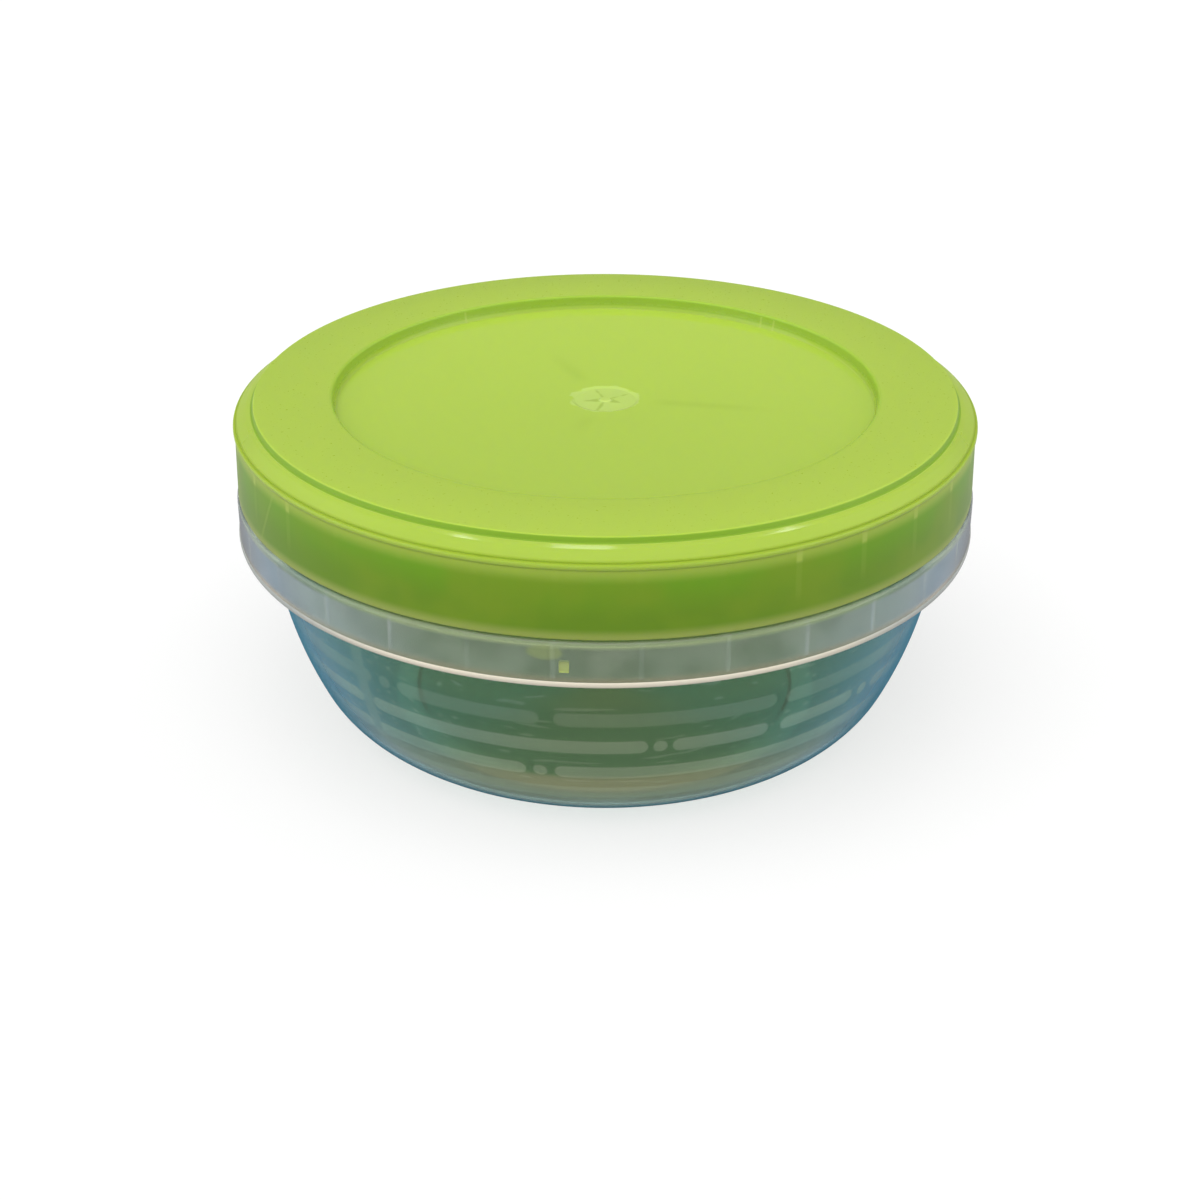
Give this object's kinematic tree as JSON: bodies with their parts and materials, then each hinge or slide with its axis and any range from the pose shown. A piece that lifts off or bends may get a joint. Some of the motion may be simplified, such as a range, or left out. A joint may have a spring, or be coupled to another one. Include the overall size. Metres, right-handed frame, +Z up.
{
  "type": "snap lid food container",
  "caption": "Round bowl-shaped food container of clear plastic with a stiffening collar and frosted dashes, closed by a lime green lid that snaps over its neck.",
  "frame": {"origin": "centre of the bowl's footprint, on the surface that it stands on", "axes": "+Z up along the axis of the bowl and the lid; -Y towards the side that the picture shows"},
  "size_m": [0.1614, 0.1614, 0.0736],
  "materials": {
    "clear_bowl": "gloss, see-through, with frosted dashes on the outside",
    "lime_lid": "satin, slightly translucent"
  },
  "bodies": {
    "bowl": {"bowl": "clear_bowl"},
    "lid": {"lid": "lime_lid"}
  },
  "joints": [
    {"name": "lid_lift", "type": "slide", "parent": "bowl", "child": "lid", "axis": [0, 0, 1], "range_m": [0, 0.03]}
  ]
}
